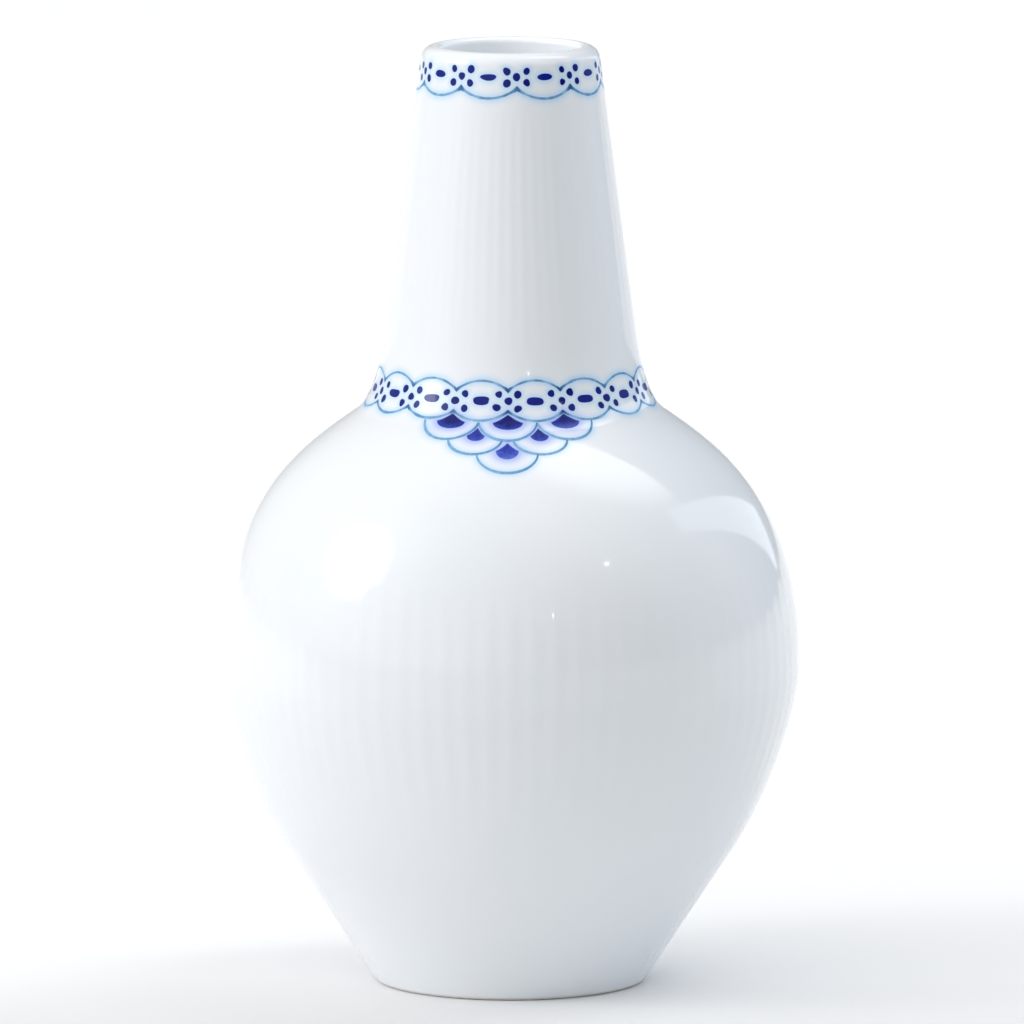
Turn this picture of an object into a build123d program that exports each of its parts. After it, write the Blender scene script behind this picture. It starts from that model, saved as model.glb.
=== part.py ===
from build123d import *
from math import cos, radians, sin, tan
import os

# Porcelain sake bottle: a round body, a tapering neck with a flared collar, a turned foot ring and
# cobalt painting. Millimetres, +Z up. The origin is the centre of the circle that the bottle stands
# on, and the front is -Y. The neck is luted to the shoulder, and the foot ring to the base, before
# the one firing. Each kind of brush stroke is a thin layer of its own on the porcelain.

# Driving dimensions of the porcelain
height = 145.0
wall = 3.0
mouth_radius = 10.5  # where the inside of the neck would meet the top of the lip
lip_outer_round = 2.2
lip_inner_round = 0.8
neck_lean = radians(7.5)  # leans and slopes are measured from the vertical
neck_foot_height = 101.0
neck_foot_handle = 6.0
seam_radius = 24.0
seam_height = 88.5
seam_slope = radians(54.9)
seam_neck_handle = 3.3
seam_body_handle = 10.8
belly_radius = 44.5
belly_height = 49.2
belly_upper_handle = 25.2
belly_lower_handle = 7.2
taper_lean = radians(33.5)
taper_handle = 9.1
taper_top_height = 20.9
taper_root_radius = 20.6  # where the taper would meet the table
foot_height = 2.4
foot_inner_radius = 17.0
foot_inner_draft = 0.5
foot_outer_round = 1.4
foot_inner_round = 0.6
floor_height = 5.8
floor_round = 6.0

# Driving dimensions of the painting; turns are degrees round from the front, towards +X
paint = 0.1
paint_lift = radians(25)  # the way the outline is copied outwards, measured from the horizontal
line_width = 0.42
rim_cells = 10
rim_first_cusp = 4.0
rim_cusp_height = 139.9
rim_low_height = 138.3
rim_dot_height = 141.6
rim_dot_spread = (1.45, 0.95)
rim_dot_radii = (0.5, 0.55)
rim_dash_radii = (1.25, 0.45)
collar_cells = 16
collar_first_cusp = -1.0
collar_top_height = 95.8
collar_upper_cusp = 94.3
collar_lower_cusp = 91.2
collar_low_height = 89.9
collar_dot_height = 92.7
collar_dot_spread = (1.55, 1.05)
collar_dot_radii = (0.58, 0.54)
collar_dash_radii = (1.35, 0.55)

# Driving dimensions of the scales on the front of the shoulder, one value for each row going down
scale_counts = (3, 2, 1)
scale_tops = (collar_low_height - 0.25, 87.4, 85.6)  # the first row hangs just clear of the collar line
scale_bottoms = (87.3, 85.5, 83.1)
scale_half_turns = (11.2, 9.4, 9.6)
heart_tips = (90.8, 88.9, 87.0)
heart_sides = (89.65, 87.9, 86.0)
heart_bottoms = (88.7, 87.2, 84.9)
heart_half_widths = (2.3, 1.4, 1.75)


def beyond(point, slope, distance):
    """The point reached by climbing a distance from another, leaning inwards by a slope."""
    return (point[0] - distance * sin(slope), point[1] + distance * cos(slope))


def facing(turn, depth):
    """A plane that looks outwards, at a depth from the axis and a turn from the front."""
    angle = radians(turn)
    outwards = (sin(angle), -cos(angle), 0)
    return Plane((0, 0, 0), x_dir=(cos(angle), sin(angle), 0), z_dir=outwards).offset(depth)


def radius_at(outline, level):
    """The radius that a stretch of outline has at a height."""
    return outline.intersect(Axis((0, level, 0), (1, 0, 0))).vertices()[0].X


# Points of the outer outline, as (radius, height)
lip_radius = mouth_radius + wall / cos(neck_lean)
neck_foot = (lip_radius + (height - neck_foot_height) * tan(neck_lean), neck_foot_height)
seam = (seam_radius, seam_height)
belly = (belly_radius, belly_height)
taper_top = (taper_root_radius + taper_top_height * tan(taper_lean), taper_top_height)
foot_top = (taper_root_radius + foot_height * tan(taper_lean), foot_height)

# Points of the inner outline, one wall in from the outer one
neck_foot_inside = (neck_foot[0] - wall / cos(neck_lean), neck_foot_height)
seam_inside = (seam_radius - wall * cos(seam_slope), seam_height - wall * sin(seam_slope))
belly_inside = (belly_radius - wall, belly_height)
taper_top_inside = (taper_top[0] - wall * cos(taper_lean), taper_top_height + wall * sin(taper_lean))
floor_edge = beyond(taper_top_inside, -taper_lean, (floor_height - taper_top_inside[1]) / cos(taper_lean))
inner_share = belly_inside[0] / belly_radius


def collar_curve(start, end):
    """The flare from the seam up to the foot of the neck's cone."""
    return Bezier(
        start,
        beyond(start, seam_slope, seam_neck_handle),
        beyond(end, neck_lean, -neck_foot_handle),
        end,
    )


def shoulder_curve(start, end, share):
    """The curve from the belly up to the seam, with handles scaled by a share."""
    return Bezier(
        start,
        (start[0], start[1] + belly_upper_handle * share),
        beyond(end, seam_slope, -seam_body_handle * share),
        end,
    )


def lower_curve(start, end, share):
    """The curve from the top of the taper up to the belly."""
    return Bezier(
        start,
        beyond(start, -taper_lean, taper_handle * share),
        (end[0], end[1] - belly_lower_handle * share),
        end,
    )


# Neck: the collar, the cone and the rounded lip
with BuildPart() as neck:
    with BuildSketch(Plane.XZ):
        with BuildLine():
            collar_curve(seam, neck_foot)
            FilletPolyline(
                neck_foot,
                (lip_radius, height),
                (mouth_radius, height),
                neck_foot_inside,
                radius=(lip_outer_round, lip_inner_round),
            )
            collar_curve(seam_inside, neck_foot_inside)
            Line(seam_inside, seam)
        make_face()
    revolve(axis=Axis.Z)

# Body: the hollow bulb, from its floor to the seam
with BuildPart() as body:
    with BuildSketch(Plane.XZ):
        with BuildLine():
            Polyline((0, floor_height), (0, foot_height), foot_top, taper_top)
            lower_curve(taper_top, belly, 1)
            shoulder_curve(belly, seam, 1)
            Line(seam, seam_inside)
            shoulder_curve(belly_inside, seam_inside, inner_share)
            lower_curve(taper_top_inside, belly_inside, inner_share)
            FilletPolyline(taper_top_inside, floor_edge, (0, floor_height), radius=floor_round)
        make_face()
    revolve(axis=Axis.Z)

# Foot ring: the turned ring that stands on the table
with BuildPart() as foot_ring:
    with BuildSketch(Plane.XZ):
        with BuildLine():
            FilletPolyline(
                foot_top,
                (taper_root_radius, 0),
                (foot_inner_radius, 0),
                (foot_inner_radius - foot_inner_draft, foot_height),
                radius=(foot_outer_round, foot_inner_round),
            )
            Line((foot_inner_radius - foot_inner_draft, foot_height), foot_top)
        make_face()
    revolve(axis=Axis.Z)



def lifted(point):
    """A point of the outline moved out and up by the thickness of the paint."""
    return (point[0] + paint * cos(paint_lift), point[1] + paint * sin(paint_lift))


# Paint skins: the thin layers over the outline that the brush strokes are cut from
skin_top = (lip_radius + lip_outer_round * tan(neck_lean), height - lip_outer_round)

with BuildPart() as neck_skin:
    with BuildSketch(Plane.XZ):
        with BuildLine():
            Polyline(neck_foot, skin_top, lifted(skin_top), lifted(neck_foot), close=True)
        make_face()
    revolve(axis=Axis.Z)

with BuildPart() as collar_skin:
    with BuildSketch(Plane.XZ):
        with BuildLine():
            shoulder_curve(belly, seam, 1)
            collar_curve(seam, neck_foot)
            Line(neck_foot, lifted(neck_foot))
            collar_curve(lifted(seam), lifted(neck_foot))
            shoulder_curve(lifted(belly), lifted(seam), 1)
            Line(lifted(belly), belly)
        make_face()
    revolve(axis=Axis.Z)


def planes_round(cells, first_turn, depth):
    """One plane for each cell of a band, evenly spaced round the bottle."""
    return [facing(first_turn + index * 360 / cells, depth) for index in range(cells)]


def draw_dots(level, spread, radii):
    """Five dots in the current sketch: one in the middle and one towards each corner."""
    across, up = spread
    corners = [(side * across, level + step * up) for side in (-1, 1) for step in (-1, 1)]
    with Locations((0, level), *corners):
        Ellipse(*radii)


# Rim lace: a line of scallops under the lip, dots over its cusps and dashes between the dots
rim_depth = 12.0  # the strokes are extruded outwards from this distance from the axis
rim_reach = 4.0
rim_pitch = 360 / rim_cells
rim_cusp_radius = lip_radius + (height - rim_cusp_height) * tan(neck_lean)
rim_half_width = rim_cusp_radius * sin(radians(rim_pitch / 2))
rim_middles = planes_round(rim_cells, rim_first_cusp + rim_pitch / 2, rim_depth)
rim_cusps = planes_round(rim_cells, rim_first_cusp, rim_depth)

with BuildPart() as rim_lace_scallops:
    with BuildSketch(*rim_middles):
        with BuildLine():
            ThreePointArc(
                (-rim_half_width, rim_cusp_height),
                (0, rim_low_height),
                (rim_half_width, rim_cusp_height),
            )
        trace(line_width=line_width)
    extrude(amount=rim_reach)
    add(neck_skin.part, mode=Mode.INTERSECT)

with BuildPart() as rim_lace_dots:
    with BuildSketch(*rim_cusps):
        draw_dots(rim_dot_height, rim_dot_spread, rim_dot_radii)
    extrude(amount=rim_reach)
    add(neck_skin.part, mode=Mode.INTERSECT)

with BuildPart() as rim_lace_dashes:
    with BuildSketch(*rim_middles):
        with Locations((0, rim_dot_height)):
            Ellipse(*rim_dash_radii)
    extrude(amount=rim_reach)
    add(neck_skin.part, mode=Mode.INTERSECT)

# Collar lace: two facing lines of scallops that make a chain of ovals, with dots and dashes in it
collar_depth = 18.0
collar_reach = 6.0
collar_pitch = 360 / collar_cells
collar_outline = collar_curve(seam, neck_foot)
upper_half_width = radius_at(collar_outline, collar_upper_cusp) * sin(radians(collar_pitch / 2))
lower_half_width = radius_at(collar_outline, collar_lower_cusp) * sin(radians(collar_pitch / 2))
collar_middles = planes_round(collar_cells, collar_first_cusp + collar_pitch / 2, collar_depth)
collar_cusps = planes_round(collar_cells, collar_first_cusp, collar_depth)

with BuildPart() as collar_lace_scallops:
    with BuildSketch(*collar_middles):
        with BuildLine():
            ThreePointArc(
                (-upper_half_width, collar_upper_cusp),
                (0, collar_top_height),
                (upper_half_width, collar_upper_cusp),
            )
        trace(line_width=line_width)
        with BuildLine():
            ThreePointArc(
                (-lower_half_width, collar_lower_cusp),
                (0, collar_low_height),
                (lower_half_width, collar_lower_cusp),
            )
        trace(line_width=line_width)
    extrude(amount=collar_reach)
    add(collar_skin.part, mode=Mode.INTERSECT)

with BuildPart() as collar_lace_dots:
    with BuildSketch(*collar_cusps):
        draw_dots(collar_dot_height, collar_dot_spread, collar_dot_radii)
    extrude(amount=collar_reach)
    add(collar_skin.part, mode=Mode.INTERSECT)

with BuildPart() as collar_lace_dashes:
    with BuildSketch(*collar_middles):
        with Locations((0, collar_dot_height)):
            Ellipse(*collar_dash_radii)
    extrude(amount=collar_reach)
    add(collar_skin.part, mode=Mode.INTERSECT)

# Pendant: rows of overlapping scales under the collar lace, each with a dark heart
pendant_depth = 18.0
pendant_reach = 16.0
shoulder_outline = shoulder_curve(belly, seam, 1)


def row_planes(row):
    """The planes of one row of scales, centred on the pendant."""
    first_turn = collar_first_cusp - (scale_counts[row] - 1) * collar_pitch / 2
    return [facing(first_turn + index * collar_pitch, pendant_depth) for index in range(scale_counts[row])]


with BuildPart() as pendant_scale_outlines:
    for row, top in enumerate(scale_tops):
        outline = collar_outline if top > seam_height else shoulder_outline
        half_width = radius_at(outline, top) * sin(radians(scale_half_turns[row]))
        with BuildSketch(*row_planes(row)):
            with BuildLine():
                EllipticalCenterArc((0, top), half_width, top - scale_bottoms[row], 180, arc_size=180)
            trace(line_width=line_width)
        extrude(amount=pendant_reach)
    add(collar_skin.part, mode=Mode.INTERSECT)

with BuildPart() as pendant_scale_hearts:
    for row, tip in enumerate(heart_tips):
        left = (-heart_half_widths[row], heart_sides[row])
        right = (heart_half_widths[row], heart_sides[row])
        with BuildSketch(*row_planes(row)):
            with BuildLine():
                Polyline(left, (0, tip), right)
                ThreePointArc(left, (0, heart_bottoms[row]), right)
            make_face()
        extrude(amount=pendant_reach)
    add(collar_skin.part, mode=Mode.INTERSECT)

# One STEP file for each node
nodes = {
    "neck": neck,
    "body": body,
    "foot_ring": foot_ring,
    "rim_lace_scallops": rim_lace_scallops,
    "rim_lace_dots": rim_lace_dots,
    "rim_lace_dashes": rim_lace_dashes,
    "collar_lace_scallops": collar_lace_scallops,
    "collar_lace_dots": collar_lace_dots,
    "collar_lace_dashes": collar_lace_dashes,
    "pendant_scale_outlines": pendant_scale_outlines,
    "pendant_scale_hearts": pendant_scale_hearts,
}
os.makedirs("parts", exist_ok=True)
for name, node in nodes.items():
    node.part.label = name
    export_step(node.part, f"parts/{name}.step")
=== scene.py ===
import math
import bpy
import numpy as np
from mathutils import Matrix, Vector
from mathutils.kdtree import KDTree


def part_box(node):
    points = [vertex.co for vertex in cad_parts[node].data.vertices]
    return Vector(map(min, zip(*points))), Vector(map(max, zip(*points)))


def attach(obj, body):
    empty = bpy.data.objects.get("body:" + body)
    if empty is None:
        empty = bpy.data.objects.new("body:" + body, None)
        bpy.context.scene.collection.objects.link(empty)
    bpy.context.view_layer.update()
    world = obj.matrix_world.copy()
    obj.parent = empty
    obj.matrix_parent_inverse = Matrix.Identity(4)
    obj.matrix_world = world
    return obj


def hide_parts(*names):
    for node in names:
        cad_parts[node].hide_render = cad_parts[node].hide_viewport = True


# A porcelain sake bottle: meshes of ribbed porcelain in place of the CAD neck, body and foot ring, and
# cobalt brush strokes on the glaze. Metres, in the CAD model's frame: +Z up, the front is -Y.

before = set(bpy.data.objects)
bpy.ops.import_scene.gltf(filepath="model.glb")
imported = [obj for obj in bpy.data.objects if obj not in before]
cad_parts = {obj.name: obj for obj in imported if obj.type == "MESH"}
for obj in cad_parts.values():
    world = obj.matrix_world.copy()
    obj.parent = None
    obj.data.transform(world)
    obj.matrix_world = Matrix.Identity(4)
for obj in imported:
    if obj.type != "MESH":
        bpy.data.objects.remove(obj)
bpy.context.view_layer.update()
mm = 0.001
chance = np.random.default_rng(7)  # the brushwork's unevenness, drawn stroke by stroke

# ---------------------------------------- sizes that come from the frame
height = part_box("neck")[1][2]
seam_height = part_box("body")[1][2]
belly_radius = (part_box("body")[1][0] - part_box("body")[0][0]) / 2
foot_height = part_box("foot_ring")[1][2]

# ---------------------------------------- the outline, as the CAD model has it
wall = 3.0 * mm
mouth_radius = 10.5 * mm
lip_outer_round = 2.2 * mm
lip_inner_round = 0.8 * mm
neck_lean = math.radians(7.5)
neck_foot_height = 101.0 * mm
neck_foot_handle = 6.0 * mm
seam_radius = 24.0 * mm
seam_slope = math.radians(54.9)
seam_neck_handle = 3.3 * mm
seam_body_handle = 10.8 * mm
belly_height = 49.2 * mm
belly_upper_handle = 25.2 * mm
belly_lower_handle = 7.2 * mm
taper_lean = math.radians(33.5)
taper_handle = 9.1 * mm
taper_top_height = 20.9 * mm
taper_root_radius = 20.6 * mm
foot_inner_radius = 17.0 * mm
foot_inner_draft = 0.5 * mm
foot_outer_round = 1.4 * mm
foot_inner_round = 0.6 * mm
floor_height = 5.8 * mm
floor_round = 6.0 * mm

# ---------------------------------------- ribs
turns_round = 480  # quads round the porcelain, a multiple of both rib counts
neck_ribs = 60
body_ribs = 80
neck_rib_depth = 0.013 * mm  # half the height from groove to ridge
body_rib_depth = 0.020 * mm
neck_rib_span = (96.0 * mm, 110.0 * mm, 132.0 * mm, 137.0 * mm)  # start, full, full and end heights
body_rib_span = (20.0 * mm, 41.0 * mm, 58.0 * mm, 71.0 * mm)


def climb(point, lean, distance):
    """The point reached by climbing a distance from another, leaning inwards by an angle."""
    return np.array([point[0] - distance * math.sin(lean), point[1] + distance * math.cos(lean)])


def bezier(start, first, second, end, steps):
    """Points along a cubic curve, both ends included."""
    t = np.linspace(0, 1, steps + 1)[:, None]
    s = 1 - t
    return s**3 * start + 3 * s * s * t * first + 3 * s * t * t * second + t**3 * end


def straight(start, end, steps):
    """Evenly spaced points along a line, both ends included."""
    return start + (end - start) * np.linspace(0, 1, steps + 1)[:, None]


def arc(centre, radius, first_angle, last_angle, steps):
    """Evenly spaced points along a circle's arc, both ends included."""
    angles = np.linspace(first_angle, last_angle, steps + 1)
    return centre + radius * np.stack([np.cos(angles), np.sin(angles)], axis=1)


lip_radius = mouth_radius + wall / math.cos(neck_lean)
neck_foot = np.array([lip_radius + (height - neck_foot_height) * math.tan(neck_lean), neck_foot_height])
seam = np.array([seam_radius, seam_height])
belly = np.array([belly_radius, belly_height])
taper_top = np.array([taper_root_radius + taper_top_height * math.tan(taper_lean), taper_top_height])
foot_top = np.array([taper_root_radius + foot_height * math.tan(taper_lean), foot_height])
neck_foot_inside = neck_foot - np.array([wall / math.cos(neck_lean), 0])
seam_inside = seam - wall * np.array([math.cos(seam_slope), math.sin(seam_slope)])
belly_inside = belly - np.array([wall, 0])
taper_top_inside = taper_top + wall * np.array([-math.cos(taper_lean), math.sin(taper_lean)])
inner_share = belly_inside[0] / belly_radius


def collar_curve(start, end, steps):
    """The hollow flare between the shoulder and the straight neck."""
    above_start = climb(start, seam_slope, seam_neck_handle)
    below_end = climb(end, neck_lean, -neck_foot_handle)
    return bezier(start, above_start, below_end, end, steps)


def shoulder_curve(start, end, share, steps):
    """The round shoulder from the belly up to the seam, with its handles scaled by a share."""
    above_start = np.array([start[0], start[1] + belly_upper_handle * share])
    below_end = climb(end, seam_slope, -seam_body_handle * share)
    return bezier(start, above_start, below_end, end, steps)


def lower_curve(start, end, share, steps):
    """The bend from the straight taper up to the belly, with its handles scaled by a share."""
    above_start = climb(start, -taper_lean, taper_handle * share)
    below_end = np.array([end[0], end[1] - belly_lower_handle * share])
    return bezier(start, above_start, below_end, end, steps)


def joined(*stretches):
    """Stretches of outline that follow each other, without the points that they share."""
    return np.vstack([stretches[0]] + [stretch[1:] for stretch in stretches[1:]])


def wall_radius(level):
    """Radius of the neck's straight outer wall at a height."""
    return lip_radius + (height - level) * math.tan(neck_lean)


def lip_arcs(steps):
    """The rounded lip, from the outer wall over the top to the inner wall."""
    outer_level = height - lip_outer_round
    outer_middle = wall_radius(outer_level) - lip_outer_round / math.cos(neck_lean)
    outer_centre = np.array([outer_middle, outer_level])
    inner_level = height - lip_inner_round
    inner_wall = wall_radius(inner_level) - wall / math.cos(neck_lean)
    inner_centre = np.array([inner_wall + lip_inner_round / math.cos(neck_lean), inner_level])
    over = arc(outer_centre, lip_outer_round, neck_lean, math.pi / 2, steps)
    back = arc(inner_centre, lip_inner_round, math.pi / 2, math.pi + neck_lean, steps)
    return np.vstack([over, back])


# The whole outer outline from the foot to the lip, dense enough to look radii up in
lip = lip_arcs(steps=12)
outer = joined(
    straight(foot_top, taper_top, steps=100),
    lower_curve(taper_top, belly, share=1, steps=200),
    shoulder_curve(belly, seam, share=1, steps=300),
    collar_curve(seam, neck_foot, steps=200),
    straight(neck_foot, lip[0], steps=100),
)


def radius_at(level):
    """Radius of the outer surface at a height, or at each of several heights."""
    return np.interp(level, outer[:, 1], outer[:, 0])


def surface(turn, level, lift):
    """Points on the smooth outer surface, at turns from the front and heights, and the normals there."""
    radius = radius_at(level)
    step = 0.05 * mm
    slope = np.arctan2(radius_at(level - step) - radius_at(level + step), 2 * step)
    out, up = np.cos(slope), np.sin(slope)
    across, ahead = np.sin(turn), -np.cos(turn)
    normals = np.stack([out * across, out * ahead, up + 0 * turn], axis=-1)
    points = np.stack([radius * across, radius * ahead, level + 0 * turn], axis=-1)
    return points + normals * np.asarray(lift)[..., None], normals


# ---------------------------------------- mesh making
def add_object(name, vertices, faces, loop_normals):
    """A smooth mesh object with its own normal at each corner of each face."""
    mesh = bpy.data.meshes.new(name)
    mesh.from_pydata(vertices.tolist(), [], faces)
    mesh.shade_smooth()
    mesh.normals_split_custom_set(loop_normals.tolist())
    mesh.update()
    thing = bpy.data.objects.new(name, mesh)
    bpy.context.scene.collection.objects.link(thing)
    return thing


def set_attribute(thing, name, values):
    """A number at each vertex, which a material reads by name."""
    attribute = thing.data.attributes.new(name, "FLOAT", "POINT")
    attribute.data.foreach_set("value", np.ascontiguousarray(values, dtype=np.float32))


def positions(thing):
    """The object's vertices, one row for each."""
    flat = np.empty(len(thing.data.vertices) * 3, dtype=np.float32)
    thing.data.vertices.foreach_get("co", flat)
    return flat.reshape(-1, 3).astype(float)


def smooth_step(low, high, values):
    """0 below low, 1 above high and smooth between; high may be the smaller."""
    share = np.clip((values - low) / (high - low), 0, 1)
    return share * share * (3 - 2 * share)


def outline_normals(points):
    """Unit normals on the right-hand side of an outline, as (radial, upward)."""
    along = np.gradient(points, axis=0)
    along /= np.linalg.norm(along, axis=1)[:, None]
    return np.stack([along[:, 1], -along[:, 0]], axis=1)


def respaced(points, spacing):
    """The same outline with points at about an even spacing, and the normals at those points."""
    steps = np.linalg.norm(np.diff(points, axis=0), axis=1)
    travel = np.concatenate([[0], np.cumsum(steps)])
    at = np.linspace(0, travel[-1], max(2, round(travel[-1] / spacing) + 1))
    normals = outline_normals(points)
    placed, tilt = (
        np.stack([np.interp(at, travel, data[:, axis]) for axis in (0, 1)], axis=1)
        for data in (points, normals)
    )
    tilt /= np.linalg.norm(tilt, axis=1)[:, None]
    return placed, tilt


def run_of(*pieces):
    """One smooth run from respaced pieces of outline that follow each other."""
    points = np.vstack([pieces[0][0]] + [piece[0][1:] for piece in pieces[1:]])
    normals = np.vstack([pieces[0][1]] + [piece[1][1:] for piece in pieces[1:]])
    return points, normals


def revolved(name, runs, closed):
    """A mesh of revolution from runs of outline that follow each other, with a crease between runs.

    A run is (points, normals, ribs, depth): how many ribs there are, and half the height from groove to
    ridge at each point. The ridges are at the outline, and the grooves lie inside it.
    A closed mesh joins its last run to its first. An open one has a fan of triangles at each end.
    """
    turn = np.arange(turns_round) * 2 * math.pi / turns_round
    first = np.arange(turns_round)
    second = (first + 1) % turns_round
    total = sum(len(run[0]) - 1 for run in runs) + (0 if closed else 1)
    rings, faces, corners, ring_count = [], [], [], 0
    for points, tilt, ribs, depth in runs:
        swell = np.outer(np.broadcast_to(depth, len(points)), np.cos(ribs * turn) - 1)
        growth = np.outer(np.broadcast_to(depth, len(points)), -ribs * np.sin(ribs * turn))
        radius = points[:, 0, None] + tilt[:, 0, None] * swell
        level = points[:, 1, None] + tilt[:, 1, None] * swell
        ring = np.stack([radius * np.sin(turn), -radius * np.cos(turn), level], axis=-1)
        lean = -growth / radius
        across = tilt[:, 0, None] * np.sin(turn) + lean * np.cos(turn)
        ahead = -tilt[:, 0, None] * np.cos(turn) + lean * np.sin(turn)
        normal = np.stack([across, ahead, tilt[:, 1, None] + 0 * lean], axis=-1)
        normal /= np.linalg.norm(normal, axis=-1)[..., None]
        rings.append(ring[:-1])
        for row in range(len(points) - 1):
            here = (ring_count + row) % total * turns_round
            above = (ring_count + row + 1) % total * turns_round
            quads = (here + first, here + second, above + second, above + first)
            faces += np.stack(quads, axis=1).tolist()
            low, high = normal[row], normal[row + 1]
            sides = (low[first], low[second], high[second], high[first])
            corners.append(np.stack(sides, axis=1).reshape(-1, 3))
        ring_count += len(points) - 1
    if not closed:
        rings.append(ring[-1:])
    vertices = np.concatenate(rings).reshape(-1, 3)
    if not closed:
        bottom, top = len(vertices), len(vertices) + 1
        poles = [[0, 0, vertices[0, 2]], [0, 0, vertices[-1, 2]]]
        last = (total - 1) * turns_round
        faces += np.stack([second, first, np.full(turns_round, bottom)], axis=1).tolist()
        faces += np.stack([last + first, last + second, np.full(turns_round, top)], axis=1).tolist()
        corners += [np.tile([0.0, 0.0, way], (3 * turns_round, 1)) for way in (-1.0, 1.0)]
        vertices = np.vstack([vertices, poles])
    return add_object(name, vertices, faces, np.concatenate(corners))


# ---------------------------------------- the porcelain
coarse = 1.3 * mm  # spacing of the rows on the plain outside,
fine = 0.29 * mm  # under the painting, where they carry the bled colour,
inside_spacing = 3.2 * mm  # and inside
pole_radius = 0.5 * mm  # innermost ring round the axis, filled with a fan of triangles
lace_bottom = 80.5 * mm  # the painted part of the outline, which has finer rows, starts here,
lace_top = 98.0 * mm  # stops here,
rim_lace_bottom = 136.5 * mm  # and starts again here


def between(points, low, high):
    """The stretch of a rising outline between two heights, ends included."""
    levels = np.clip(points[:, 1], low, high)
    kept = points[(points[:, 1] > low) & (points[:, 1] < high)]
    ends = [[np.interp(level, points[:, 1], points[:, 0]), level] for level in (levels[0], levels[-1])]
    return np.vstack([ends[:1], kept, ends[1:]])


def rib_share(levels, span):
    """How much of their depth the ribs have: all of it between two heights, fading out past them."""
    low_end, low, high, high_end = span
    return smooth_step(low_end, low, levels) * smooth_step(high_end, high, levels)


def make_neck():
    """Collar, ribbed cone, rounded lip and the inside of the neck."""
    outside = run_of(
        respaced(between(outer, seam_height, lace_top), fine),
        respaced(between(outer, lace_top, rim_lace_bottom), coarse),
        respaced(between(outer, rim_lace_bottom, lip[0][1]), fine),
        (lip, outline_normals(lip)),
    )
    depth = neck_rib_depth * rib_share(outside[0][:, 1], neck_rib_span)
    inner_wall = joined(
        straight(lip[-1], neck_foot_inside, steps=20),
        collar_curve(seam_inside, neck_foot_inside, steps=60)[::-1],
    )
    inside = respaced(inner_wall, inside_spacing)
    joint = respaced(straight(seam_inside, seam, steps=2), wall / 2)
    runs = [(*outside, neck_ribs, depth), (*inside, 1, 0.0), (*joint, 1, 0.0)]
    return revolved("neck_porcelain", runs, closed=True)


def make_body():
    """Underside, ribbed bulb, the joint with the neck, and the inside down to the floor."""
    recess_edge = np.array([foot_inner_radius, foot_height])
    recess = straight(np.array([pole_radius, foot_height]), recess_edge, steps=36)
    under = joined(recess, straight(recess_edge, foot_top, steps=3))
    turning_pitch = 2.1 * mm
    turning_depth = 0.04 * mm
    turning_edge = foot_inner_radius - 1.0 * mm  # the turning marks start here,
    turning_full = foot_inner_radius - 2.5 * mm  # and are full here
    in_recess = smooth_step(turning_edge, turning_full, under[:, 0])
    wave = (1 - np.cos(under[:, 0] * 2 * math.pi / turning_pitch)) / 2
    under[:, 1] += turning_depth * wave * in_recess
    underside = (under, outline_normals(under))
    outside = run_of(
        respaced(between(outer, foot_height, lace_bottom), coarse),
        respaced(between(outer, lace_bottom, seam_height), fine),
    )
    depth = body_rib_depth * rib_share(outside[0][:, 1], body_rib_span)
    joint = respaced(straight(seam, seam_inside, steps=2), wall / 2)
    down_to_floor = (taper_top_inside[1] - floor_height) / math.cos(taper_lean)
    floor_edge = climb(taper_top_inside, -taper_lean, -down_to_floor)
    bend = math.pi / 2 - taper_lean
    reach = floor_round * math.tan(bend / 2)
    round_start = climb(floor_edge, -taper_lean, reach)
    round_centre = np.array([floor_edge[0] - reach, floor_height + floor_round])
    floor_start = np.array([round_centre[0], floor_height])
    floor_middle = np.array([pole_radius, floor_height])
    inner_wall = joined(
        shoulder_curve(belly_inside, seam_inside, inner_share, steps=120)[::-1],
        lower_curve(taper_top_inside, belly_inside, inner_share, steps=80)[::-1],
        straight(taper_top_inside, round_start, steps=10),
        arc(round_centre, floor_round, -taper_lean, -math.pi / 2, steps=12),
        straight(floor_start, floor_middle, steps=12),
    )
    inside = respaced(inner_wall, inside_spacing)
    runs = [(*underside, 1, 0.0), (*outside, body_ribs, depth), (*joint, 1, 0.0), (*inside, 1, 0.0)]
    return revolved("body_porcelain", runs, closed=False)


glaze_line = 0.5 * mm  # the glaze stops this far above the table,
glaze_edge = 0.08 * mm  # thins out over this height,
bare_edge = 0.1 * mm  # lets the bare clay show over this height,
glaze_thickness = 0.05 * mm  # and is this thick


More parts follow.
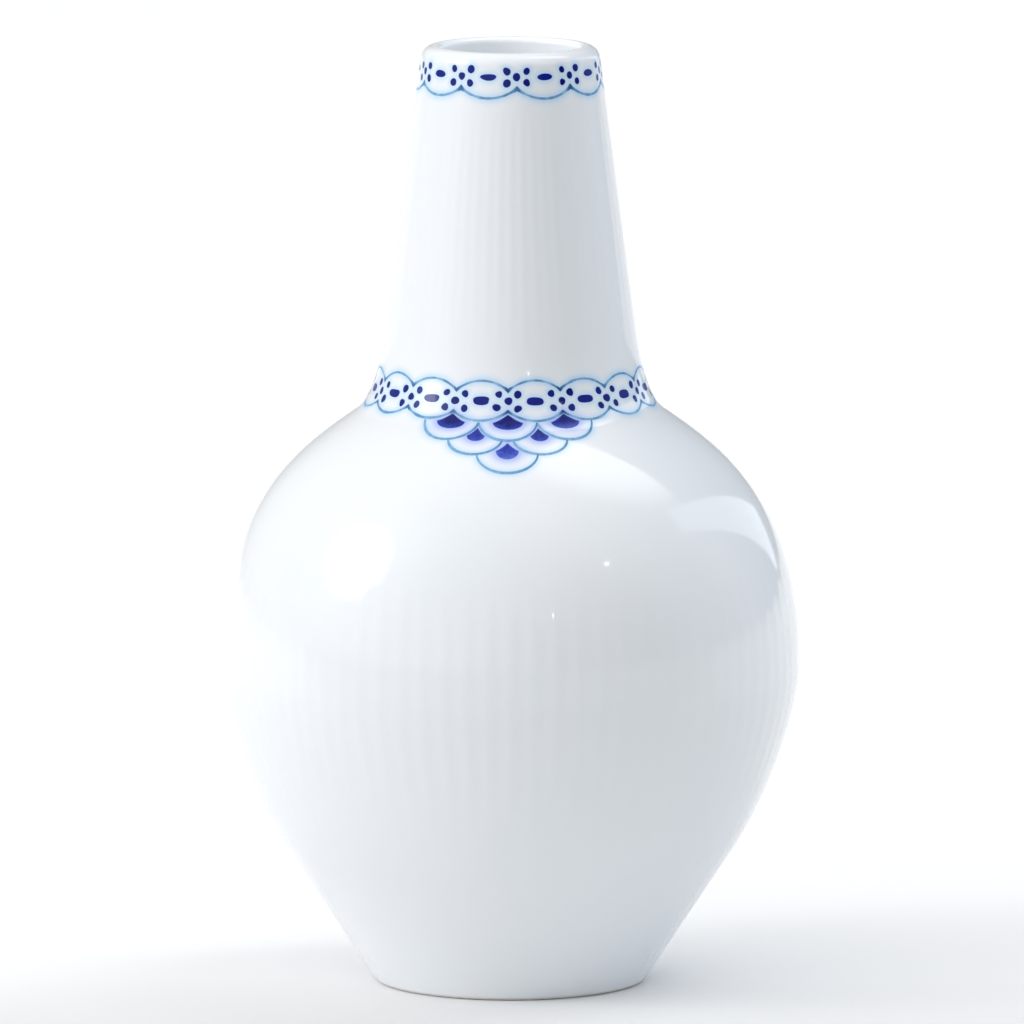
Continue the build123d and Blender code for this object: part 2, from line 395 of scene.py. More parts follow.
def make_foot_ring():
    """The turned ring: glazed outside down to the glaze line, bare where it stands."""
    draft = math.atan(foot_inner_draft / foot_height)
    inner_top = np.array([foot_inner_radius - foot_inner_draft, foot_height])
    inner_middle = foot_inner_radius + foot_inner_round * (1 / math.cos(draft) - math.tan(draft))
    outer_share = 1 / math.cos(taper_lean) - math.tan(taper_lean)
    outer_middle = taper_root_radius - foot_outer_round * outer_share
    inner_centre = np.array([inner_middle, foot_inner_round])
    outer_centre = np.array([outer_middle, foot_outer_round])
    inner_corner = arc(inner_centre, foot_inner_round, math.pi + draft, 1.5 * math.pi, steps=10)
    outer_corner = arc(outer_centre, foot_outer_round, -math.pi / 2, -taper_lean, steps=16)
    wall_run = joined(
        straight(inner_top, inner_corner[0], steps=8),
        inner_corner,
        straight(inner_corner[-1], outer_corner[0], steps=6),
        outer_corner,
        straight(outer_corner[-1], foot_top, steps=14),
    )
    inset = glaze_thickness * smooth_step(glaze_line, glaze_line - glaze_edge, wall_run[:, 1])
    wall_run[:, 0] -= inset * np.where(wall_run[:, 0] > outer_corner[0][0], 1, 0)
    top = straight(foot_top, inner_top, steps=4)
    runs = [(wall_run, outline_normals(wall_run), 1, 0.0), (top, outline_normals(top), 1, 0.0)]
    return revolved("foot_ring_porcelain", runs, closed=True)


# ---------------------------------------- brush strokes
stroke_lift = 0.006 * mm  # the edge of a stroke over the glaze
stroke_swell = 0.018 * mm  # how much more its middle stands up
stroke_root = 0.02 * mm  # how deep its closed underside sits
line_half = 0.17 * mm  # half the width of a painted line
across_line = np.array([-1.0, -0.8, -0.45, 0.0, 0.45, 0.8, 1.0])  # a line's vertices, side to side
line_thinning = 0.35  # how much less ink a line has at its edges
blot_rings = np.array([0.3, 0.55, 0.78, 0.93, 1.0])  # a dab's rings of vertices, from the middle out
blot_sides = 28
blot_thinning = 0.3  # how much less ink a dab has at its edge


class Strokes:
    """Collects the strokes of one node: their vertices, faces, normals and ink."""

    def __init__(self):
        self.vertices, self.normals, self.faces, self.ink, self.edges = [], [], [], [], []
        self.count = 0

    def add(self, turn, level, lift, ink, faces):
        """Adds one closed shape, whose faces count its vertices from 0."""
        points, normals = surface(turn, level, lift)
        self.vertices.append(points)
        self.normals.append(normals)
        self.ink.append(ink)
        self.faces += [[index + self.count for index in face] for face in faces]
        self.count += len(points)
        return points

    def band(self, turn, level, half, ink, ring):
        """A painted line: its middle, half its width across, and its ink, at each step along it.

        half is (turn, level) from the middle to one side. A ring joins its end to its start.
        """
        steps, width = len(turn), len(across_line)
        side = np.concatenate([across_line, [1.0, -1.0]])
        swell = stroke_lift + stroke_swell * np.sqrt(1 - across_line**2)
        lift = np.concatenate([swell, [-stroke_root, -stroke_root]])
        turns = turn[:, None] + half[0][:, None] * side
        levels = level[:, None] + half[1][:, None] * side
        edge = 1 - line_thinning
        density = ink[:, None] * np.concatenate([1 - line_thinning * across_line**4, [edge, edge]])
        loop = width + 2
        faces = []
        for step in range(steps if ring else steps - 1):
            here, ahead = step * loop, (step + 1) % steps * loop
            for corner in range(loop):
                other = (corner + 1) % loop
                faces.append([here + corner, ahead + corner, ahead + other, here + other])
        if not ring:
            last = (steps - 1) * loop
            faces += [list(range(loop)), [last + corner for corner in reversed(range(loop))]]
        points = self.add(turns.ravel(), levels.ravel(), np.tile(lift, steps), density.ravel(), faces)
        grid = points.reshape(steps, loop, 3)
        self.edges += [grid[:, 0], grid[:, width - 1]]

    def blot(self, turn, level, shape, ink):
        """A filled mark round a middle point. shape is its outline as (across, up), anticlockwise.

        ink is how much there is in its middle, and how much more at its top than there.
        """
        scale = np.concatenate([blot_rings, [1.0]])
        lift = np.concatenate([stroke_lift + stroke_swell * np.sqrt(1 - blot_rings**2), [-stroke_root]])
        across = np.outer(scale, shape[:, 0]).ravel()
        up = np.outer(scale, shape[:, 1]).ravel()
        sides, rings = len(shape), len(scale)
        thinned = np.concatenate([1 - blot_thinning * blot_rings**4, [1 - blot_thinning]])
        density = np.repeat(thinned, sides)
        density = density * (ink[0] + ink[1] * np.clip(up / np.abs(shape[:, 1]).max(), -1, 1))
        middle, under = rings * sides, rings * sides + 1
        faces = []
        for side in range(sides):
            other = (side + 1) % sides
            faces.append([middle, side, other])
            faces.append([under, (rings - 1) * sides + other, (rings - 1) * sides + side])
            for ring in range(rings - 1):
                low, high = ring * sides, (ring + 1) * sides
                faces.append([low + side, high + side, high + other, low + other])
        turns = turn + np.concatenate([across, [0, 0]]) / radius_at(level)
        levels = level + np.concatenate([up, [0, 0]])
        lifts = np.concatenate([np.repeat(lift, sides), [stroke_lift + stroke_swell, -stroke_root]])
        points = self.add(turns, levels, lifts, np.concatenate([density, [ink[0], ink[0]]]), faces)
        self.edges.append(points[(rings - 1) * sides - sides:(rings - 1) * sides])

    def build(self, name):
        """One object from all the strokes."""
        normals = np.concatenate(self.normals)
        corners = np.array([index for face in self.faces for index in face])
        thing = add_object(name, np.concatenate(self.vertices), self.faces, normals[corners])
        set_attribute(thing, "ink", np.concatenate(self.ink))
        return thing


# How uneven the hand is. A drift or a wobble is a standard deviation.
cusp_drift = 0.06 * mm
sag_drift = 0.04
width_waves, width_drift = 90, 0.13
ink_waves, line_ink_drift = 60, 0.10
wobbles = (0.05, 0.035)
dot_drift = (0.07 * mm, 0.06 * mm)
dot_size_drift = 0.06
dot_squareness = 2.0
dot_lean, dot_lean_drift = math.radians(25), 0.15
dash_drift = 0.05 * mm
dash_lean_drift = 0.03

# Ink, where 1 is the densest cobalt. Its drifts are standard deviations.
line_ink = 0.42
cusp_ink = 0.42  # this much more where the paint pools at a cusp,
cusp_reach = 0.5 * mm  # and it fades over this distance
dot_ink, dot_ink_drift, dot_gradient = 0.93, 0.07, 0.04
dash_ink, dash_ink_drift, dash_gradient = 0.86, 0.05, -0.06
heart_ink, heart_ink_drift, heart_gradient = 0.93, 0.05, 0.24
heart_row_fade = 0.12  # each row of hearts is this much paler than the row above
outline_side_ink = 0.12  # a scale's outline has this much more at its right-hand side,
outline_end_ink = 0.1  # and this much more at both its ends
outline_swell = 0.12  # its width grows and shrinks by this share


def wander(steps, waves, size):
    """A smooth random curve that closes on itself, for a hand's unevenness."""
    along = np.arange(steps) * 2 * math.pi / steps
    total = np.zeros(steps)
    for wave in range(1, waves + 1):
        total += chance.normal() * np.cos(wave * along) + chance.normal() * np.sin(wave * along)
    return size * total / math.sqrt(2 * waves)


def scallop_arc(share, width, sag):
    """Fall of a circular arc below its ends, at shares of its width from 0 to 1."""
    radius = (width**2 / 4 + sag**2) / (2 * sag)
    return np.sqrt(radius**2 - (width * (share - 0.5)) ** 2) - (radius - sag)


def scallop_ring(strokes, cells, first_cusp, cusp_level, middle_level, half, pool):
    """A closed line of arcs round the bottle, from cusp to cusp, with paint pooled at the cusps."""
    steps = 64
    pitch = 2 * math.pi / cells
    cusps = cusp_level + chance.normal(0, cusp_drift, cells)
    share = np.tile(np.arange(steps) / steps, cells)
    cell = np.repeat(np.arange(cells), steps)
    radius = radius_at(cusp_level)
    sag = abs(cusp_level - middle_level) * (1 + chance.normal(0, sag_drift, cells))[cell]
    fall = scallop_arc(share, radius * pitch, sag) * math.copysign(1, cusp_level - middle_level)
    level = cusps[cell] * (1 - share) + cusps[(cell + 1) % cells] * share - fall
    turn = first_cusp + (cell + share) * pitch
    run = radius * pitch / steps
    slope = (np.roll(level, -1) - np.roll(level, 1)) / (2 * run)
    from_cusp = np.minimum(share, 1 - share) * radius * pitch
    pooled = np.exp(-((from_cusp / cusp_reach) ** 2))
    width = half * (1 + wander(len(turn), width_waves, width_drift)) * np.sqrt(1 + slope**2)
    ink = line_ink + wander(len(turn), ink_waves, line_ink_drift) + cusp_ink * pooled
    strokes.band(turn, level, (np.zeros(len(turn)), width + pool * pooled), ink, ring=True)


def blot_shape(across, up, squareness):
    """Outline of a brush dab: an ellipse at a squareness of 2, squarer above, with a little wobble."""
    angle = np.arange(blot_sides) * 2 * math.pi / blot_sides
    cos, sin = np.cos(angle), np.sin(angle)
    reach = (np.abs(cos) ** squareness + np.abs(sin) ** squareness) ** (-1 / squareness)
    wobble = chance.normal(0, wobbles[0]) * np.cos(2 * angle)
    wobble += chance.normal(0, wobbles[1]) * np.cos(3 * angle + 1)
    reach = reach * (1 + wobble)
    return np.stack([across * reach * cos, up * reach * sin], axis=1)


def leaning(shape, angle):
    """A shape turned anticlockwise."""
    cos, sin = math.cos(angle), math.sin(angle)
    return shape @ np.array([[cos, sin], [-sin, cos]])


def dot_groups(strokes, cells, first_cusp, level, spread, radii):
    """Five dots at each cusp: one in the middle, and one towards each corner, leaning outwards."""
    for cell in range(cells):
        centre = first_cusp + cell * 2 * math.pi / cells
        places = [(0, 0)] + [(side, step) for side in (-1, 1) for step in (-1, 1)]
        for side, step in places:
            across = side * spread[0] + chance.normal(0, dot_drift[0])
            up = step * spread[1] + chance.normal(0, dot_drift[1])
            size = 1 + chance.normal(0, dot_size_drift)
            shape = blot_shape(radii[0] * size, radii[1] * size, dot_squareness)
            shape = leaning(shape, -side * step * dot_lean + chance.normal(0, dot_lean_drift))
            ink = (dot_ink + chance.normal(0, dot_ink_drift), dot_gradient)
            strokes.blot(centre + across / radius_at(level), level + up, shape, ink)


def dashes(strokes, cells, first_cusp, level, radii, squareness):
    """One dash in the middle of each cell."""
    for cell in range(cells):
        centre = first_cusp + (cell + 0.5) * 2 * math.pi / cells
        shape = leaning(blot_shape(radii[0], radii[1], squareness), chance.normal(0, dash_lean_drift))
        shift = chance.normal(0, dash_drift)
        ink = (dash_ink + chance.normal(0, dash_ink_drift), dash_gradient)
        strokes.blot(centre, level + shift, shape, ink)


rim = (10, math.radians(4.0))  # how many cells go round, and the turn of the first cusp
rim_mark_level = 141.6 * mm
rim_cusp_level = 139.9 * mm
rim_trough_level = 138.3 * mm
rim_line_half = 0.2 * mm
rim_pool = 0.2 * mm  # how much wider the line is to each side at a cusp
rim_dot_spread = (1.45 * mm, 0.95 * mm)  # across and up from the middle dot
rim_dot_radii = (0.53 * mm, 0.58 * mm)
rim_dash_radii = (1.3 * mm, 0.5 * mm)
rim_dash_squareness = 2.0

collar = (16, math.radians(-1.0))  # cells, and the first cusp's turn, again
collar_pitch = 2 * math.pi / collar[0]
collar_mark_level = 92.7 * mm
collar_upper_cusp, collar_upper_crest = 94.3 * mm, 95.8 * mm
collar_lower_cusp, collar_lower_trough = 91.2 * mm, 89.9 * mm
collar_upper_pool, collar_lower_pool = 0.14 * mm, 0.08 * mm
collar_dot_spread = (1.55 * mm, 1.05 * mm)
collar_dot_radii = (0.58 * mm, 0.54 * mm)
collar_dash_radii = (1.35 * mm, 0.6 * mm)
collar_dash_squareness = 2.6

# The pendant, row by row from the top. Its scales hang from the lowest points of the row above.
scale_counts = (3, 2, 1)
scale_tops = (89.65 * mm, 87.4 * mm, 85.6 * mm)
scale_bottoms = (87.3 * mm, 85.5 * mm, 83.1 * mm)
scale_half_turns = tuple(math.radians(turn) for turn in (11.2, 9.4, 9.6))
heart_tips = (90.8 * mm, 88.9 * mm, 87.0 * mm)
heart_sides = (89.65 * mm, 87.9 * mm, 86.0 * mm)  # where a heart is widest
heart_bottoms = (88.7 * mm, 87.2 * mm, 84.9 * mm)
heart_half_widths = (2.3 * mm, 1.4 * mm, 1.75 * mm)


def row_turns(row):
    """Turns from the front of the scales in one row of the pendant."""
    count = scale_counts[row]
    return [collar[1] + (index - (count - 1) / 2) * collar_pitch for index in range(count)]


def scale_outlines(strokes):
    """Rows of half-ellipses, each row hanging from the lowest points of the row above."""
    steps = 49
    for row, top in enumerate(scale_tops):
        for centre in row_turns(row):
            angle = np.linspace(math.pi, 2 * math.pi, steps)
            across = radius_at(top) * math.sin(scale_half_turns[row])
            drop = top - scale_bottoms[row]
            level = top + drop * np.sin(angle)
            here = radius_at(level)
            turn = centre + np.arcsin(across * np.cos(angle) / here)
            width = line_half * (1 + outline_swell * np.sin(angle * 2 + chance.normal()))
            normal = -np.stack([drop * np.cos(angle), across * np.sin(angle)], axis=1)
            normal /= np.linalg.norm(normal, axis=1)[:, None]
            half = (width * normal[:, 0] / here, width * normal[:, 1])
            at_ends = np.abs(np.cos(angle)) ** 6
            ink = line_ink + outline_side_ink * np.cos(angle) + outline_end_ink * at_ends
            strokes.band(turn, level, half, ink, ring=False)


def heart_shape(row):
    """Outline of a heart: a tip with hollow flanks over a rounded bottom."""
    half_width = heart_half_widths[row]
    rise = heart_tips[row] - heart_sides[row]
    drop = heart_sides[row] - heart_bottoms[row]
    hollow = 1.35  # 1 would make the flanks straight
    flank = np.linspace(0, 1, 9)[:-1]
    right = np.stack([half_width * (1 - flank), rise * flank**hollow], axis=1)
    left = np.stack([-half_width * flank, rise * (1 - flank) ** hollow], axis=1)
    angle = np.linspace(math.pi, 2 * math.pi, 16)[:-1]
    bottom = np.stack([half_width * np.cos(angle), drop * np.sin(angle)], axis=1)
    return np.vstack([right, left, bottom])


def scale_hearts(strokes):
    """A heart in each scale, paler row by row."""
    for row in range(len(scale_counts)):
        for centre in row_turns(row):
            ink = heart_ink - heart_row_fade * row + chance.normal(0, heart_ink_drift)
            strokes.blot(centre, heart_sides[row], heart_shape(row), (ink, heart_gradient))


def make_strokes():
    """The eight painted nodes, each as its own set of strokes."""
    sets = {name: Strokes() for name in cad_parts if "lace" in name or "pendant" in name}
    line = sets["rim_lace_scallops"]
    scallop_ring(line, *rim, rim_cusp_level, rim_trough_level, rim_line_half, rim_pool)
    dot_groups(sets["rim_lace_dots"], *rim, rim_mark_level, rim_dot_spread, rim_dot_radii)
    dashes(sets["rim_lace_dashes"], *rim, rim_mark_level, rim_dash_radii, rim_dash_squareness)
    lines = sets["collar_lace_scallops"]
    scallop_ring(lines, *collar, collar_upper_cusp, collar_upper_crest, line_half, collar_upper_pool)
    scallop_ring(lines, *collar, collar_lower_cusp, collar_lower_trough, line_half, collar_lower_pool)
    dot_groups(sets["collar_lace_dots"], *collar, collar_mark_level, collar_dot_spread, collar_dot_radii)
    strokes = sets["collar_lace_dashes"]
    dashes(strokes, *collar, collar_mark_level, collar_dash_radii, collar_dash_squareness)
    scale_outlines(sets["pendant_scale_outlines"])
    scale_hearts(sets["pendant_scale_hearts"])
    return sets


bleed_reach = 0.52 * mm
heart_bleed_reach = 0.95 * mm
bleed_falloff = 1.4  # the power of the distance that it fades with
skin = 0.5 * mm  # only porcelain this near the outline takes colour


def spread_of(sets, thing, reach, zones):
    """How far paint has bled at each vertex: 1 at the edge of a stroke, 0 well away from it.

    zones are the stretches of height to look at.
    """
    edges = np.vstack([edge for strokes in sets for edge in strokes.edges])
    tree = KDTree(len(edges))
    for index, point in enumerate(edges):
        tree.insert(point, index)
    tree.balance()
    points = positions(thing)
    values = np.zeros(len(points))
    out = np.hypot(points[:, 0], points[:, 1])
    near_outside = np.abs(out - radius_at(points[:, 2])) < skin
    for low, high in zones:
        for index in np.flatnonzero(near_outside & (points[:, 2] > low) & (points[:, 2] < high)):
            distance = tree.find(points[index])[2]
            values[index] = math.exp(-((distance / reach) ** bleed_falloff))
    return values


# ---------------------------------------- materials
def new_material(name):
    """A node material, with its nodes, its links and the Principled shader that is in it."""
    material = bpy.data.materials.new(name)
    material.use_nodes = True
    nodes = material.node_tree.nodes
    shader = nodes["Principled BSDF"]
    return material, nodes, material.node_tree.links, shader


def glaze(shader):
    """The clear gloss glaze on the porcelain."""
    shader.inputs["IOR"].default_value = 1.5
    shader.inputs["Coat Weight"].default_value = 0.25
    shader.inputs["Coat Roughness"].default_value = 0.03
    shader.inputs["Coat IOR"].default_value = 1.5


def attribute_node(nodes, name):
    """A mesh's attribute, by its name."""
    node = nodes.new("ShaderNodeAttribute")
    node.attribute_name = name
    return node.outputs["Fac"]


def noise_node(nodes, links, scale, detail, roughness=0.5):
    """Noise in the object's own space. scale is in cells per metre."""
    coordinates = nodes.new("ShaderNodeTexCoord").outputs["Object"]
    node = nodes.new("ShaderNodeTexNoise")
    node.inputs["Scale"].default_value = scale
    node.inputs["Detail"].default_value = detail
    node.inputs["Roughness"].default_value = roughness
    links.new(coordinates, node.inputs["Vector"])
    return node.outputs["Fac"]


def mixed(nodes, links, factor, first, second):
    """A colour between two, each a socket or a colour."""
    node = nodes.new("ShaderNodeMix")
    node.data_type = "RGBA"
    links.new(factor, node.inputs["Factor"])
    for value, socket in ((first, node.inputs["A"]), (second, node.inputs["B"])):
        if isinstance(value, tuple):
            socket.default_value = (*value, 1)
        else:
            links.new(value, socket)
    return node.outputs["Result"]


def ranged(nodes, links, value, from_low, from_high, to_low, to_high, way="LINEAR"):
    """A value moved from one range to another, and kept inside it."""
    node = nodes.new("ShaderNodeMapRange")
    node.interpolation_type = way
    links.new(value, node.inputs["Value"])
    node.inputs["From Min"].default_value = from_low
    node.inputs["From Max"].default_value = from_high
    node.inputs["To Min"].default_value = to_low
    node.inputs["To Max"].default_value = to_high
    return node.outputs["Result"]


def combined(nodes, links, operation, first, second):
    """The outputs of a vector node for two inputs, each a socket or a vector."""
    node = nodes.new("ShaderNodeVectorMath")
    node.operation = operation
    for value, socket in ((first, node.inputs[0]), (second, node.inputs[1])):
        if isinstance(value, bpy.types.NodeSocket):
            links.new(value, socket)
        else:
            socket.default_value = value
    return node.outputs


def bumped(nodes, links, shader, value, strength, distance):
    """Gives the shader a bump from a height."""
    node = nodes.new("ShaderNodeBump")
    node.inputs["Strength"].default_value = strength
    node.inputs["Distance"].default_value = distance
    links.new(value, node.inputs["Height"])
    links.new(node.outputs["Normal"], shader.inputs["Normal"])


porcelain_white = (0.86, 0.885, 0.915)
porcelain_cool = (0.83, 0.866, 0.90)
porcelain_groove = (0.842, 0.8725, 0.905)
biscuit_pale = (0.80, 0.80, 0.785)
biscuit_dark = (0.72, 0.715, 0.70)
bled_blue = (0.50, 0.72, 0.95)
bled_violet = (0.36, 0.46, 0.88)
line_bleed, heart_bleed = 0.9, 0.95  # how much of the bled colour shows at the edge of a stroke
cloud_noise = (28, 3)  # scale and detail of the faint clouds in the glaze,
glaze_noise = (90, 2)  # of its uneven gloss,
ripple_noise = (160, 2)  # of its ripple,
brush_noise = (1500, 3)  # of the grain in the paint,
paint_noise = (700, 2)  # of the paint's gloss,
biscuit_noise = (900, 4, 0.6)  # and, with its roughness, of the bare clay
glaze_roughness = (0.07, 0.12)
paint_roughness = (0.07, 0.13)
foot_roughness = (0.09, 0.7)  # glazed, and bare
painted_inside_glow = 0.13  # painted glow on the inside of the mouth, standing in for light that comes through its thin wall


def porcelain_material():
    """Cool white porcelain under clear glaze, a little bluer in places, with paint bled into it, and a
    painted glow inside the mouth.
    """
    material, nodes, links, shader = new_material("porcelain_glaze")
    glaze(shader)
    clouds = ranged(nodes, links, noise_node(nodes, links, *cloud_noise), 0.35, 0.65, 0, 1)
    colour = mixed(nodes, links, clouds, porcelain_white, porcelain_cool)
    colour = mixed(nodes, links, attribute_node(nodes, "groove"), colour, porcelain_groove)
    halo = ranged(nodes, links, attribute_node(nodes, "bled"), 0, 1, 0, line_bleed)
    colour = mixed(nodes, links, halo, colour, bled_blue)
    heart_halo = ranged(nodes, links, attribute_node(nodes, "heart_bled"), 0, 1, 0, heart_bleed)
    colour = mixed(nodes, links, heart_halo, colour, bled_violet)
    links.new(colour, shader.inputs["Base Color"])
    satin = ranged(nodes, links, noise_node(nodes, links, *glaze_noise), 0.3, 0.7, *glaze_roughness)
    links.new(satin, shader.inputs["Roughness"])
    # Painted light: emission inside the mouth stands in for light that comes through its thin wall
    glow = ranged(nodes, links, attribute_node(nodes, "painted_inside_glow_share"), 0, 1, 0, painted_inside_glow)
    links.new(glow, shader.inputs["Emission Strength"])
    shader.inputs["Emission Color"].default_value = (*porcelain_white, 1)
    ripple = noise_node(nodes, links, *ripple_noise)
    bumped(nodes, links, shader, ripple, strength=0.05, distance=0.1 * mm)
    return material


# Cobalt where it is thin, middling and dense
dot_inks = ((0.03, 0.09, 0.50), (0.003, 0.014, 0.27), (0.001, 0.004, 0.15))
line_inks = ((0.27, 0.50, 0.74), (0.09, 0.23, 0.44), (0.012, 0.055, 0.19))
heart_inks = ((0.12, 0.19, 0.64), (0.022, 0.05, 0.43), (0.001, 0.005, 0.14))


def cobalt_material(name, inks):
    """Underglaze cobalt whose colour deepens with the ink that the brush left."""
    thin, middle, dense = inks
    material, nodes, links, shader = new_material(name)
    shader.inputs["IOR"].default_value = 1.5
    shader.inputs["Specular IOR Level"].default_value = 0.25
    grain = ranged(nodes, links, noise_node(nodes, links, *brush_noise), 0.3, 0.7, -0.10, 0.10)
    total = nodes.new("ShaderNodeMath")
    total.operation = "ADD"
    links.new(attribute_node(nodes, "ink"), total.inputs[0])
    links.new(grain, total.inputs[1])
    ramp = nodes.new("ShaderNodeValToRGB")
    ramp.color_ramp.elements[0].position = 0.2
    ramp.color_ramp.elements[0].color = (*thin, 1)
    ramp.color_ramp.elements[1].position = 1.0
    ramp.color_ramp.elements[1].color = (*dense, 1)
    halfway = ramp.color_ramp.elements.new(0.6)
    halfway.color = (*middle, 1)
    links.new(total.outputs[0], ramp.inputs["Fac"])
    links.new(ramp.outputs["Color"], shader.inputs["Base Color"])
    satin = ranged(nodes, links, noise_node(nodes, links, *paint_noise), 0.3, 0.7, *paint_roughness)
    links.new(satin, shader.inputs["Roughness"])
    return material


def foot_material():
    """Glazed down to the glaze line, then bare, fine-grained and matt where the ring stands."""
    material, nodes, links, shader = new_material("foot_porcelain")
    grain = ranged(nodes, links, noise_node(nodes, links, *biscuit_noise), 0.35, 0.65, 0, 1)
    biscuit = mixed(nodes, links, grain, biscuit_pale, biscuit_dark)
    bare = ranged(nodes, links, attribute_node(nodes, "bare"), 0.35, 0.65, 0, 1)
    clouds = ranged(nodes, links, noise_node(nodes, links, *cloud_noise), 0.35, 0.65, 0, 1)
    glazed = mixed(nodes, links, clouds, porcelain_white, porcelain_cool)
    links.new(mixed(nodes, links, bare, glazed, biscuit), shader.inputs["Base Color"])
    links.new(ranged(nodes, links, bare, 0, 1, *foot_roughness), shader.inputs["Roughness"])
    glaze(shader)
    return material


# ---------------------------------------- the object
lace_zones = [(rim_lace_bottom, height), (lace_bottom, lace_top)]
painted_glow_bottom, painted_glow_top = height - 45 * mm, height - 3 * mm  # the painted glow inside the mouth fades in between these
inside_depth = 0.6 * wall  # porcelain further in from the outline than this counts as inside


def place(thing, material, slot, *nodes):
    """Gives a piece its material, and ties it to the frame in place of the CAD nodes."""
    thing.data.materials.append(material)
    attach(thing, "root")
    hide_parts(*nodes)


def mark_porcelain(thing, ribs, rib_span):
    """Gives a shell the numbers that its material reads: bled paint, a painted glow inside the mouth,
    and grooves.
    """
    set_attribute(thing, "bled", spread_of(line_sets, thing, bleed_reach, lace_zones))
    set_attribute(thing, "heart_bled", spread_of(heart_sets, thing, heart_bleed_reach, lace_zones[1:]))
    points = positions(thing)
    out = np.hypot(points[:, 0], points[:, 1])
    is_inside = out < radius_at(points[:, 2]) - inside_depth
    set_attribute(thing, "painted_inside_glow_share", smooth_step(painted_glow_bottom, painted_glow_top, points[:, 2]) * is_inside)
    groove = (1 - np.cos(ribs * np.arctan2(points[:, 0], -points[:, 1]))) / 2
    set_attribute(thing, "groove", groove * rib_share(points[:, 2], rib_span) * ~is_inside)


stroke_sets = make_strokes()
line_sets = [strokes for name, strokes in stroke_sets.items() if "hearts" not in name]
heart_sets = [stroke_sets["pendant_scale_hearts"]]

neck, body, foot_ring = make_neck(), make_body(), make_foot_ring()
mark_porcelain(neck, neck_ribs, neck_rib_span)
mark_porcelain(body, body_ribs, body_rib_span)
bare = smooth_step(glaze_line, glaze_line - bare_edge, positions(foot_ring)[:, 2])
set_attribute(foot_ring, "bare", bare)

porcelain = porcelain_material()
place(neck, porcelain, "porcelain_glaze", "neck")
place(body, porcelain, "porcelain_glaze", "body")
place(foot_ring, foot_material(), "foot_porcelain", "foot_ring")

dark_cobalt = cobalt_material("dark_cobalt", dot_inks)
pale_cobalt = cobalt_material("pale_cobalt_line", line_inks)
heart_cobalt = cobalt_material("heart_cobalt", heart_inks)
for name, strokes in stroke_sets.items():
    line = "scallops" in name or "outlines" in name
    material = pale_cobalt if line else heart_cobalt if "hearts" in name else dark_cobalt
    slot = "pale_cobalt_line" if line else "dark_cobalt"
    place(strokes.build(name + "_painted"), material, slot, name)


# ---------------------------------------- floor, light and camera
light_distance = 1.2
floor_half = 6.0
back_floor = (0.92, 0.92, 0.92)  # white paper behind the bottle,
front_floor_painted_shade = (0.55, 0.55, 0.55)  # and duller paper in front, painted shade standing in for the darker room in front, which the lower bulb mirrors
front_floor_end, back_floor_start = -0.16, 0.0  # along Y, where one turns into the other
floor_painted_glow = 0.08  # painted glow on the paper, so that it stays nearly white behind the bottle,
glow_end = 0.25  # full from here along Y, and fading to none at the bottle


def aim(thing, target):
    """Points a lamp or the camera at a place."""
    thing.rotation_euler = (Vector(target) - thing.location).to_track_quat("-Z", "Y").to_euler()


def direction(turn, rise):
    """A unit vector at a turn from the front, towards +X, and a rise above the horizon, in degrees."""
    turn, rise = math.radians(turn), math.radians(rise)
    return Vector((math.sin(turn) * math.cos(rise), -math.cos(turn) * math.cos(rise), math.sin(rise)))


def add_light(name, turn, rise, width, depth, radiance, roll=0, tint=(1, 1, 1), shape="DISK"):
    """A soft area light in a direction from the bottle, of a given size in degrees as it sees it."""
    data = bpy.data.lights.new(name, "AREA")
    data.shape = shape
    data.size = 2 * light_distance * math.tan(math.radians(width / 2))
    data.size_y = 2 * light_distance * math.tan(math.radians(depth / 2))
    area = data.size * data.size_y * (math.pi / 4 if shape == "DISK" else 1)
    data.energy = radiance * area * math.pi
    data.color = tint
    light = bpy.data.objects.new(name, data)
    centre = Vector((0, 0, height / 2))
    light.location = centre + direction(turn, rise) * light_distance
    bpy.context.scene.collection.objects.link(light)
    aim(light, centre)
    light.rotation_euler.rotate_axis("Z", math.radians(roll))
    light.visible_camera = False


def make_world(level, patches):
    """A pale surround of one level, with brighter and darker patches.

    A patch is (circles, colour), and a circle is (turn, rise, core, reach): it is full to core degrees
    from its middle, and fades out at reach degrees. A patch fills what its circles have in common.
    """
    world = bpy.data.worlds.new("studio")
    world.use_nodes = True
    bpy.context.scene.world = world
    nodes, links = world.node_tree.nodes, world.node_tree.links
    outwards = nodes.new("ShaderNodeTexCoord").outputs["Generated"]
    total = level
    for circles, colour in patches:
        for turn, rise, core, reach in circles:
            along = combined(nodes, links, "DOT_PRODUCT", outwards, direction(turn, rise))["Value"]
            edge, full = math.cos(math.radians(reach)), math.cos(math.radians(core))
            inside = ranged(nodes, links, along, edge, full, 0, 1, "SMOOTHSTEP")
            colour = combined(nodes, links, "MULTIPLY", inside, colour)["Vector"]
        total = combined(nodes, links, "ADD", total, colour)["Vector"]
    links.new(total, nodes["Background"].inputs["Color"])


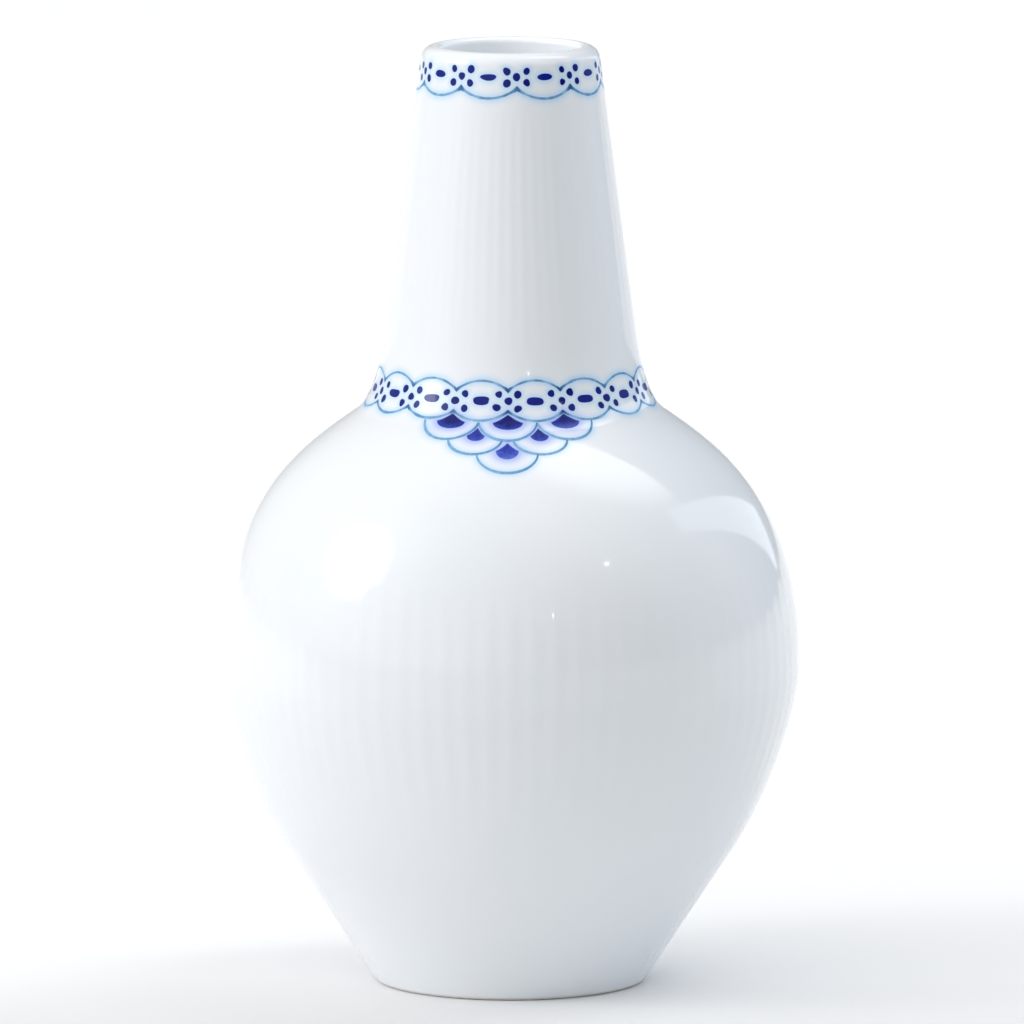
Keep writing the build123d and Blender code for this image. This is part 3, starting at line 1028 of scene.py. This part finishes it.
def make_floor():
    """A pale sheet of paper under and behind the bottle, which isn't part of the object, with a painted
    glow behind the bottle and painted shade in front.
    """
    mesh = bpy.data.meshes.new("floor")
    sides = ((-1, -1), (1, -1), (1, 1), (-1, 1))
    corners = [(x * floor_half, y * floor_half, 0) for x, y in sides]
    mesh.from_pydata(corners, [], [(0, 1, 2, 3)])
    floor = bpy.data.objects.new("floor", mesh)
    bpy.context.scene.collection.objects.link(floor)
    material, nodes, links, shader = new_material("floor_paper")
    shader.inputs["Roughness"].default_value = 0.9
    shader.inputs["Specular IOR Level"].default_value = 0.1
    shader.inputs["Emission Color"].default_value = (1, 1, 1, 1)
    coordinates = nodes.new("ShaderNodeTexCoord").outputs["Object"]
    parts = nodes.new("ShaderNodeSeparateXYZ")
    links.new(coordinates, parts.inputs["Vector"])
    # Painted light: the paper glows behind the bottle, fading to none at the bottle
    glow = ranged(nodes, links, parts.outputs["Y"], 0.0, glow_end, 0.0, floor_painted_glow)
    links.new(glow, shader.inputs["Emission Strength"])
    # Painted shade: duller paper in front, which the lower bulb mirrors
    back = ranged(nodes, links, parts.outputs["Y"], front_floor_end, back_floor_start, 0.0, 1.0)
    links.new(mixed(nodes, links, back, front_floor_painted_shade, back_floor), shader.inputs["Base Color"])
    floor.data.materials.append(material)


surround = (0.71, 0.71, 0.71)
patches = [
    ([(-40, 15, 0, 50)], (0.49, 0.49, 0.49)),  # white wall at the front left
    ([(-75, 29, 0, 35)], (0.60, 0.60, 0.60)),  # glow round the dish
    ([(-100, 60, 0, 50)], (0.10, 0.10, 0.10)),  # ceiling on the left
    ([(0, 85, 0, 60)], (0.24, 0.24, 0.24)),  # ceiling
    ([(131, 62, 0, 28), (68, 56, 32.2, 33.2)], (2.4, 2.4, 2.4)),  # overhead softbox, and its far edge
    ([(155, 8, 0, 55)], (-0.32, -0.31, -0.30)),  # duller wall behind on the right
    ([(-145, 20, 0, 55)], (-0.08, -0.08, -0.08)),  # duller wall behind on the left
    ([(115, 25, 0, 65)], (-0.035, 0.01, 0.065)),  # bluer daylight on the right,
    ([(82, 30, 0, 42)], (0.12, 0.14, 0.16)),  # and its glow
    ([(0, 25, 0, 45)], (-0.10, -0.10, -0.10)),  # the dark room behind the camera,
    ([(42, 4, 0, 38)], (-0.38, -0.38, -0.38)),  # to the right of it,
    ([(75, 0, 0, 40)], (-0.42, -0.42, -0.42)),  # and low down on the right
]
make_world(surround, patches)
make_floor()
add_light("left_dish", -75, 29, 30, 30, 1.8)
add_light("dish_core", -75, 26, 11, 11, 6.5)
window_blue = (0.90, 0.97, 1.06)
add_light("strip_window", 126, 23, 59, 11, 1.0, roll=-37, tint=window_blue, shape="RECTANGLE")
add_light("small_lamp", 46, 34, 1.2, 1.2, 40.0)
add_light("low_lamp", 16, 16, 1.2, 1.2, 25.0)

camera_rise = 8.05
camera_distance = 2.528
camera_across = 0.23 * mm
camera_pivot_height = 72.5 * mm  # the height that its rise and distance are measured from,
camera_aim_height = 72.73 * mm  # and the height that it looks at
data = bpy.data.cameras.new("camera")
data.sensor_width = 36
data.lens = 577.758
camera = bpy.data.objects.new("camera", data)
bpy.context.scene.collection.objects.link(camera)
pivot = Vector((camera_across, 0, camera_pivot_height))
camera.location = pivot + direction(0, camera_rise) * camera_distance
aim(camera, Vector((camera_across, 0, camera_aim_height)))
bpy.context.scene.camera = camera
bpy.context.scene.view_settings.view_transform = "Standard"
